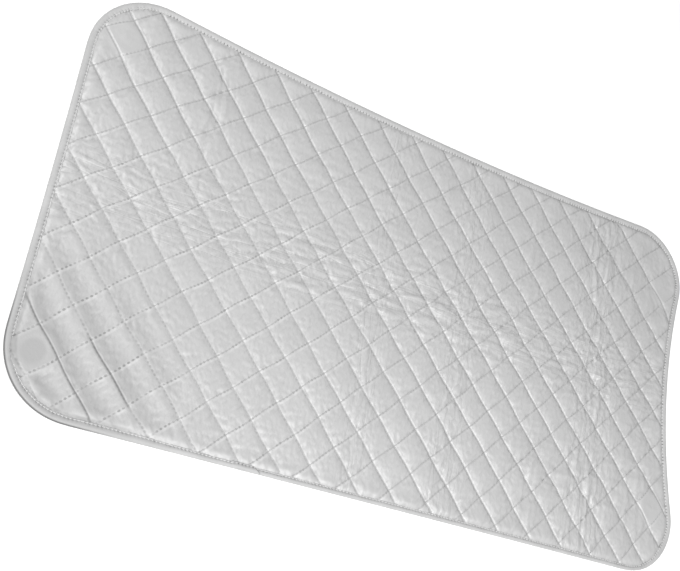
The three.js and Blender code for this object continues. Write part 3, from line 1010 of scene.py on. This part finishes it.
def silver_finish():
    """Silver-coated cotton: a dull metal sheen, rubbed ridges, painted highlights beside the rows, and
    painted shade in hollows, needle holes and the front left corner.
    """
    finish = Finish("silver_coated_cotton", Metallic=0.2, IOR=1.35)
    rising, falling, inset = finish.parts(finish.kept("quilt_place"))
    x, y, _ = finish.parts(finish.spot)
    from_corner = finish.away(FRONT_LEFT)
    worn = (1 - x.rise_mm(*WORN_FADE_RIGHT)) * (1 - y.rise_mm(*WORN_FADE_REAR))

    past_falling = rising.least(LAST_FALLING_ROW + HALF_CELL).past_whole() * RISING_STEP
    past_rising = falling.past_whole() * FALLING_STEP
    from_falling = past_falling.size()
    from_rising = past_rising.size()
    hole_on_rising = (rising * (RISING_STEP / QUILTING_STITCH)).off_whole() * QUILTING_STITCH
    hole_on_falling = (falling * (FALLING_STEP / QUILTING_STITCH)).off_whole() * QUILTING_STITCH
    drawn = finish.mottle(11, 1.0).rise(0.25, 0.7) + 0.4
    hole = needle_hole(hole_on_rising, from_rising, ROW_HOLE) * (0.2 + worn * 0.2)
    hole = (hole + needle_hole(hole_on_falling, from_falling, ROW_HOLE) * (0.09 + worn * 0.13)) * drawn

    # Two falling rows of the front left corner are curled, the inner one over a short stretch
    on_outer = 1 - (rising - OUTER_CURLED_ROW).size().rise(*OUTER_CURL_WIDTH)
    on_inner = 1 - (rising - INNER_CURLED_ROW).size().rise(*INNER_CURL_WIDTH)
    curled = on_outer * (1 - y.rise_mm(*OUTER_CURL_END))
    curled = curled + on_inner * y.rise_mm(*INNER_CURL_START) * (1 - y.rise_mm(*INNER_CURL_END))

    relief = finish.kept("cloth_relief", "Fac")
    patches = finish.mottle(45) * 0.6 + finish.mottle(9) * 0.4
    colour = finish.mix(patches.rise(*PATCHES), grey(SILVER * 0.96), grey(SILVER * 1.03))
    # Hollows of the cloth are darkened: painted shade, with some dust. Ridges are lightened where the coating
    # is rubbed.
    colour = finish.tint(colour, (0 - relief).rise(*RELIEF_TONES), strength=0.5, tone=SILVER * 0.72)
    colour = finish.tint(colour, relief.rise(*RELIEF_TONES), strength=0.4 - worn * 0.28, tone=SILVER * 1.18)
    # Painted highlight just past each row crossing.
    crossing_highlight = 1 - ((past_falling - CROSSING_SHIFT) ** 2 + from_rising ** 2).rise(*CROSSING_GLINT)
    colour = finish.tint(colour, crossing_highlight, strength=0.4, tone=SILVER * 1.4)
    # Painted highlight: a bright lip beside the rising rows.
    painted_lip_highlight = (1 - (past_rising + HIGHLIGHT_LIP_SHIFT).size().rise(*HIGHLIGHT_LIP_EDGE)) * drawn
    colour = finish.tint(colour, painted_lip_highlight, strength=0.1 + worn * 0.22, tone=SILVER * 1.4)
    # Painted shadow in the creases of the curled rows.
    curl_painted_shade = (1 - from_falling.rise(*CURL_SHADE_LINE)) * curled
    colour = finish.tint(colour, curl_painted_shade, strength=0.85, tone=SILVER * 0.2)
    # Painted shade on the flat disc over the front left magnet.
    from_magnet = finish.away(magnet_centre(PLAIN_MAGNET))
    magnet_disc_shade = 1 - from_magnet.rise_mm(MAGNET_RADIUS - DISC_SHADE_EDGE, MAGNET_RADIUS + MAGNET_PRINT_EDGE)
    colour = finish.tint(colour, magnet_disc_shade, strength=0.6, tone=SILVER * 0.75)
    # Painted shade over the front left corner.
    painted_corner_shade = 1 - from_corner.rise_mm(*PAINTED_CORNER_SHADE_FADE)
    colour = finish.tint(colour, painted_corner_shade, strength=0.5, tone=SILVER * 0.7)
    at_rear = y.rise_mm(*SEAM_SHADE_FROM_FRONT)
    shaded = (1 - inset.rise(*SEAM_SHADE)) * at_rear * x.rise_mm(*SEAM_SHADE_FROM_LEFT)
    in_corner = 1 - from_corner.rise_mm(*CORNER_SHADE_FADE)
    shaded = shaded + (1 - inset.rise(*CORNER_SEAM_SHADE)) * in_corner * drawn
    colour = finish.tint(colour, shaded, strength=0.5, tone=SILVER * 0.45)
    # Painted shade in the needle holes.
    colour = finish.tint(colour, hole, strength=1, tone=SILVER * 0.3)
    finish.set("Base Color", colour)
    finish.set("Roughness", 0.4 + patches * 0.1)

    marks = finish.fold_marks(x, y, MIDDLE_FOLD, MIDDLE_MARKS)
    for middle, width, _ in FOLDS_ACROSS_LENGTH:
        marks = marks + finish.fold_marks(y, x, middle, width * MARKS_BEYOND_FOLD)
    dips = (1 - from_falling.rise(*FALLING_DIP)) * 0.7 + (1 - from_rising.rise(*RISING_DIP)) * 0.45
    dips = dips * (1 - worn * 0.75 + curled * 0.5)
    finish.relief(finish.mottle(3.0, 3.0) * 0.18 - dips - hole * 0.5 - marks * 0.3, depth=1.0, strength=0.8)
    return finish.material


def tape_finish():
    """Silver-grey binding tape: twill lines, painted shade in needle holes and dents, a lapped join, and a
    painted shadow on the outer fold at one corner.
    """
    finish = Finish("binding_tape", Metallic=0.15, IOR=1.45)
    along, across, inset = finish.parts(finish.kept("tape_place"))
    x, y, _ = finish.parts(finish.spot)
    from_corner = finish.away(FRONT_LEFT)
    from_hole = (along * (1 / BINDING_STITCH)).off_whole() * BINDING_STITCH
    hole = needle_hole(from_hole, inset - SEAM_INSET, SEAM_HOLE)
    painted_dent_shade = (1 - from_hole.rise(*DENT_SHADE_WIDTH)) * inset.rise(*DENT_SHADE_RISE)
    drawn = finish.mottle(7, 1.0).rise(0.3, 0.7) + 0.15
    twill = ((along + across) * (2 * math.pi / TWILL_PITCH)).sine() * 0.5 + 0.5
    patches = finish.mottle(20)
    colour = finish.mix(patches.rise(*PATCHES), grey(TAPE * 0.95), grey(TAPE * 1.03))
    colour = finish.tint(colour, twill, strength=0.12, tone=TAPE * 0.8)
    # Painted shade in the needle holes and the needle dents beside them.
    colour = finish.tint(colour, hole * 0.6 + painted_dent_shade * 0.35, strength=drawn, tone=TAPE * 0.35)
    # The tape is darker toward the front left corner.
    colour = finish.tint(colour, 1 - from_corner.rise_mm(*TAPE_CORNER_DARKENING_FADE), strength=0.3, tone=TAPE * 0.6)
    # Painted shadow along the outer fold at the front left corner.
    painted_corner_shade = (1 - inset.rise(*OUTER_FOLD_SHADOW)) * (1 - from_corner.rise_mm(*FOLD_SHADOW_FADE))
    colour = finish.tint(colour, painted_corner_shade, strength=0.85, tone=TAPE * 0.2)
    past_lap = (x + (inset - LAP_MIDDLE) * (LAP_SLANT * MM) - LAP_PLACE * MM).size()
    lap_end = (1 - past_lap.rise_mm(*LAP_LINE)) * (1 - y.rise_mm(*LAP_LINE_END))
    lap_end = lap_end * inset.rise(*LAP_LINE_RISE)
    colour = finish.tint(colour, lap_end, strength=0.6, tone=TAPE * 0.3)
    finish.set("Base Color", colour)
    finish.set("Roughness", 0.58 + patches * 0.12)
    finish.relief(twill * 0.4 + finish.mottle(2.5, 3.0) * 0.6 - hole * 0.6, depth=0.2, strength=0.5)
    return finish.material


def thread_finish():
    """Grey sewing thread with its ply."""
    finish = Finish("sewing_thread", Sheen_Weight=0.2, Roughness=0.6)
    x, y, _ = finish.parts(finish.spot)
    ply = ((x + y) * (2 * math.pi / (PLY_PITCH * MM))).sine() * 0.5 + 0.5
    shade = finish.kept("thread_shade", "Fac") * (ply * 0.2 + 0.8)
    finish.set("Base Color", finish.mix(shade, grey(0), grey(1)))
    finish.relief(ply, depth=0.08, strength=0.6)
    return finish.material


def backing_finish():
    """Unbleached cotton backing with its weave."""
    finish = Finish("cotton_backing", Sheen_Weight=0.15, Roughness=0.85)
    patches = finish.mottle(25)
    weave = finish.weave(WEAVE_PITCH)
    finish.set("Base Color", finish.mix(patches * 0.7 + weave * 0.3, COTTON_DARK, COTTON_PALE))
    finish.relief(weave * 0.6 + finish.mottle(3, 3.0) * 0.4, depth=0.15, strength=0.6)
    return finish.material


def ferrite_finish():
    """Dark sintered magnet with a fine grain."""
    finish = Finish("ferrite", Metallic=0.3, IOR=1.6)
    grain = finish.mottle(0.6, 4.0)
    finish.set("Base Color", finish.mix(grain, grey(0.03), grey(0.075)))
    finish.set("Roughness", 0.45 + grain * 0.2)
    finish.relief(grain, depth=0.05, strength=0.5)
    return finish.material


def floor_finish():
    """Pale matt floor."""
    finish = Finish("pale_floor", Roughness=0.9)
    finish.set("Base Color", finish.mix(finish.mottle(400), grey(0.92), grey(0.94)))
    return finish.material


def make_floor():
    """A wide floor, a little under the pad."""
    ground = bmesh.new()
    bmesh.ops.create_grid(ground, x_segments=1, y_segments=1, size=FLOOR_HALF * MM)
    bmesh.ops.translate(ground, verts=ground.verts, vec=(0, 0, -FLOOR_DROP * MM))
    mesh = bpy.data.meshes.new("floor")
    ground.to_mesh(mesh)
    ground.free()
    mesh.materials.append(floor_finish())
    floor = bpy.data.objects.new("floor", mesh)
    bpy.context.scene.collection.objects.link(floor)
    return floor


def light_world():
    """Even white light from all round."""
    world = bpy.data.worlds.new("studio")
    bpy.context.scene.world = world
    world.use_nodes = True
    background = world.node_tree.nodes["Background"]
    background.inputs["Color"].default_value = grey(1)
    background.inputs["Strength"].default_value = WORLD_LIGHT


def add_softbox(name, place, aim, width, depth, power):
    """A soft rectangular light, in metres and watts."""
    lamp = bpy.data.lights.new(name, "AREA")
    lamp.shape = "RECTANGLE"
    lamp.size = width
    lamp.size_y = depth
    lamp.energy = power
    softbox = bpy.data.objects.new(name, lamp)
    bpy.context.scene.collection.objects.link(softbox)
    softbox.location = place
    softbox.rotation_euler = (Vector(aim) - Vector(place)).to_track_quat("-Z", "Y").to_euler()


place_camera()

cover = make_cover()
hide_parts("top_cover", "wadding")
cover.data.materials.append(silver_finish())

backing = make_backing()
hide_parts("backing_cloth")
backing.data.materials.append(backing_finish())

tape = make_binding()
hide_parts("edge_binding")
tape.data.materials.append(tape_finish())

thread = thread_finish()
rising_rows = row_stitches(RISING_STEP, CELLS_OUT, lambda along, row: (along, row))
falling_rows = row_stitches(FALLING_STEP, LAST_FALLING_ROW, lambda along, row: (row, along))
for node, name, stitches, radius, shade in (
    ("quilting_thread_rising", "rising_stitches", rising_rows, THREAD_RADIUS, THREAD),
    ("quilting_thread_falling", "falling_stitches", falling_rows, THREAD_RADIUS, THREAD),
    ("binding_thread", "seam_stitches", seam_stitches(), SEAM_THREAD_RADIUS, SEAM_THREAD),
):
    rows = lay_stitches(name, stitches, radius, shade)
    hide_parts(node)
    rows.data.materials.append(thread)

ferrite = ferrite_finish()
for name in MAGNETS:
    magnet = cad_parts[name]
    magnet.data.materials.clear()
    magnet.data.materials.append(ferrite)

floor = make_floor()

bpy.context.scene.view_settings.view_transform = "Standard"
light_world()
add_softbox("key_softbox", place=(-1.9, -2.3, 2.9), aim=(0, 0, 0), width=0.9, depth=0.9, power=124)
add_softbox("front_fill", place=(0.2, -0.6, 1.3), aim=(0.15, -0.3, 0), width=0.7, depth=0.5, power=8.2)
add_softbox("rear_fill", place=(-0.8, 0.3, 1.2), aim=(-0.45, 0.25, 0), width=0.3, depth=0.3, power=4.4)
